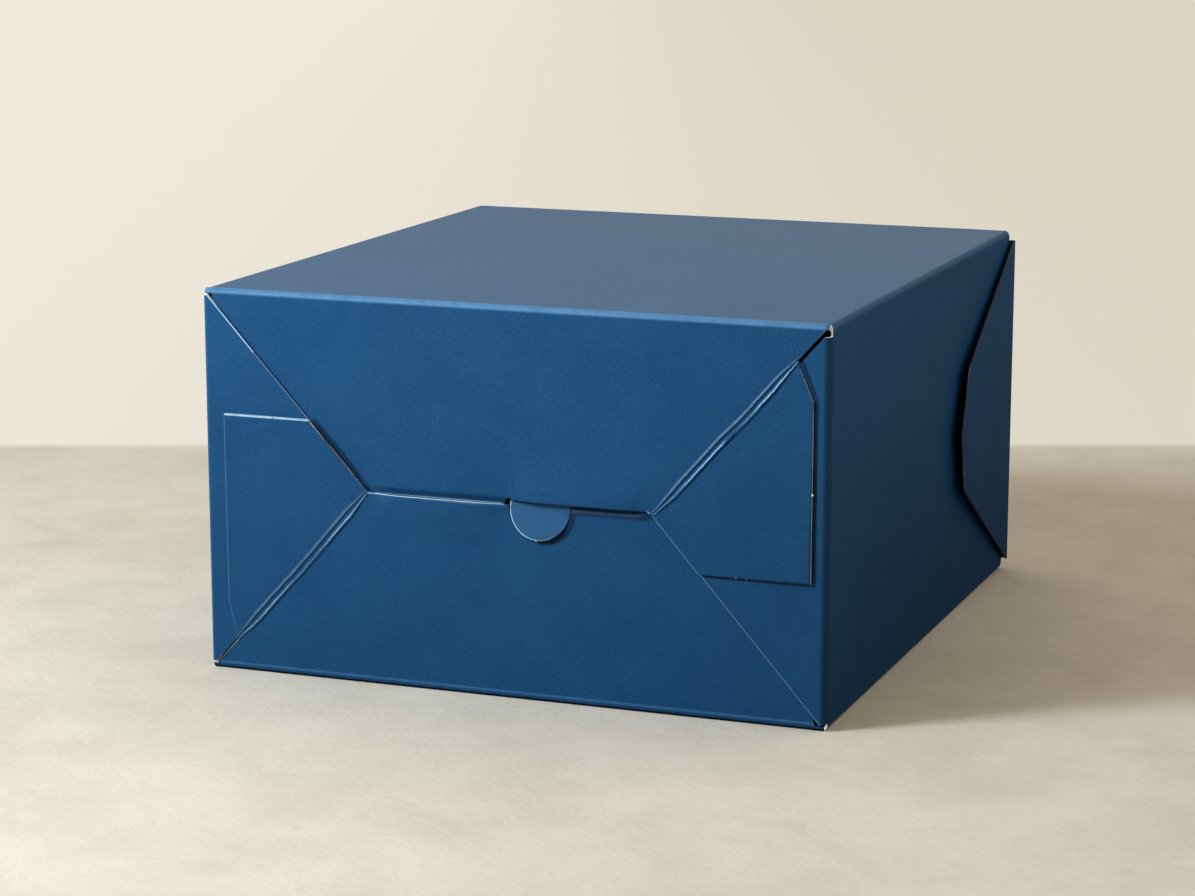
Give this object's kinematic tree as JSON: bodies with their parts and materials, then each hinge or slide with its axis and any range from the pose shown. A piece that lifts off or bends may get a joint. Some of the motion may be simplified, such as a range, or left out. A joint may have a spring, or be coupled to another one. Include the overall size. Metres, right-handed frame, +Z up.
{
  "type": "auto-lock bottom box",
  "caption": "Folding carton lying on a long wall: glued crash-lock bottom with interlocking flaps and thumb tongue, hinged tuck lid and side flaps folded flat back.",
  "frame": {"origin": "centre of the footprint on the surface that the carton lies on: the middle of the whole object in X and Y, and the outer face of the floor wall in Z", "axes": "-Y points out of the locked bottom, +Y out of the lid end, +X to the right wall as seen facing the locked bottom, +Z up"},
  "size_m": [0.208, 0.218, 0.12],
  "materials": {
    "carton_board": "matte"
  },
  "bodies": {
    "carton": {"carton": "carton_board"},
    "lid": {"lid": "carton_board"},
    "right_flap": {"right_flap": "carton_board"},
    "left_flap": {"left_flap": "carton_board"}
  },
  "joints": [
    {"name": "lid_hinge", "type": "hinge", "parent": "carton", "child": "lid", "pos_m": [0, 0.109, 0.118], "axis": [1, 0, 0], "range_deg": [0, 180]},
    {"name": "right_flap_hinge", "type": "hinge", "parent": "carton", "child": "right_flap", "pos_m": [0.1021, 0.10765, 0.06], "axis": [0, 0, 1], "range_deg": [0, 175]},
    {"name": "left_flap_hinge", "type": "hinge", "parent": "carton", "child": "left_flap", "pos_m": [-0.1021, 0.10765, 0.06], "axis": [0, 0, -1], "range_deg": [0, 175]}
  ]
}
